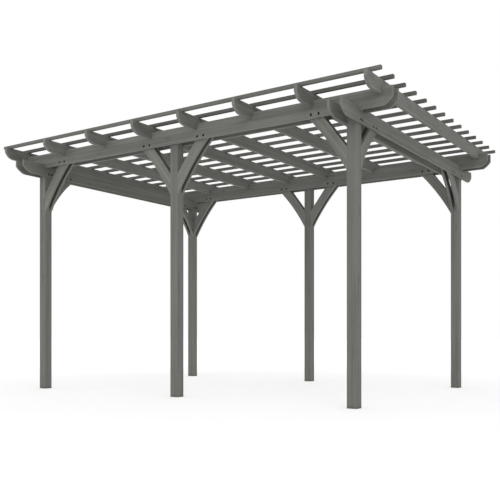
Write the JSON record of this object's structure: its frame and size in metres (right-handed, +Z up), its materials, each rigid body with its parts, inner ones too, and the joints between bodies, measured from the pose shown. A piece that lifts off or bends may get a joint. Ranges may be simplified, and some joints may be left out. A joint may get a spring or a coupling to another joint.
{
  "type": "garden pergola",
  "caption": "Free-standing wooden pergola: square posts between twin-board beams and curved knee braces, notched rafters and a flat slatted top.",
  "frame": {"origin": "on the ground, midway between the six posts", "axes": "+X along the long side to the right, +Y from the front row of posts to the back row, +Z up"},
  "size_m": [4.53, 3.354, 2.694],
  "materials": {
    "post_wood": "matt grey stain",
    "beam_wood": "matt grey stain",
    "rafter_wood": "matt grey stain",
    "slat_wood": "matt grey stain",
    "brace_wood": "matt grey stain"
  },
  "bodies": {
    "root": {"post_front_left": "post_wood", "post_front_middle": "post_wood", "post_front_right": "post_wood", "post_back_left": "post_wood", "post_back_middle": "post_wood", "post_back_right": "post_wood", "beam_front": "beam_wood", "beam_back": "beam_wood", "beam_left": "beam_wood", "beam_right": "beam_wood", "rafter_1": "rafter_wood", "rafter_2": "rafter_wood", "rafter_3": "rafter_wood", "rafter_4": "rafter_wood", "rafter_5": "rafter_wood", "rafter_6": "rafter_wood", "rafter_7": "rafter_wood", "rafter_8": "rafter_wood", "slat_01": "slat_wood", "slat_02": "slat_wood", "slat_03": "slat_wood", "slat_04": "slat_wood", "slat_05": "slat_wood", "slat_06": "slat_wood", "slat_07": "slat_wood", "slat_08": "slat_wood", "slat_09": "slat_wood", "slat_10": "slat_wood", "slat_11": "slat_wood", "slat_12": "slat_wood", "slat_13": "slat_wood", "slat_14": "slat_wood", "brace_front_left": "brace_wood", "brace_front_middle_left": "brace_wood", "brace_front_middle_right": "brace_wood", "brace_front_right": "brace_wood", "brace_back_left": "brace_wood", "brace_back_middle_left": "brace_wood", "brace_back_middle_right": "brace_wood", "brace_back_right": "brace_wood", "brace_left_front": "brace_wood", "brace_left_back": "brace_wood", "brace_right_front": "brace_wood", "brace_right_back": "brace_wood"}
  },
  "joints": []
}
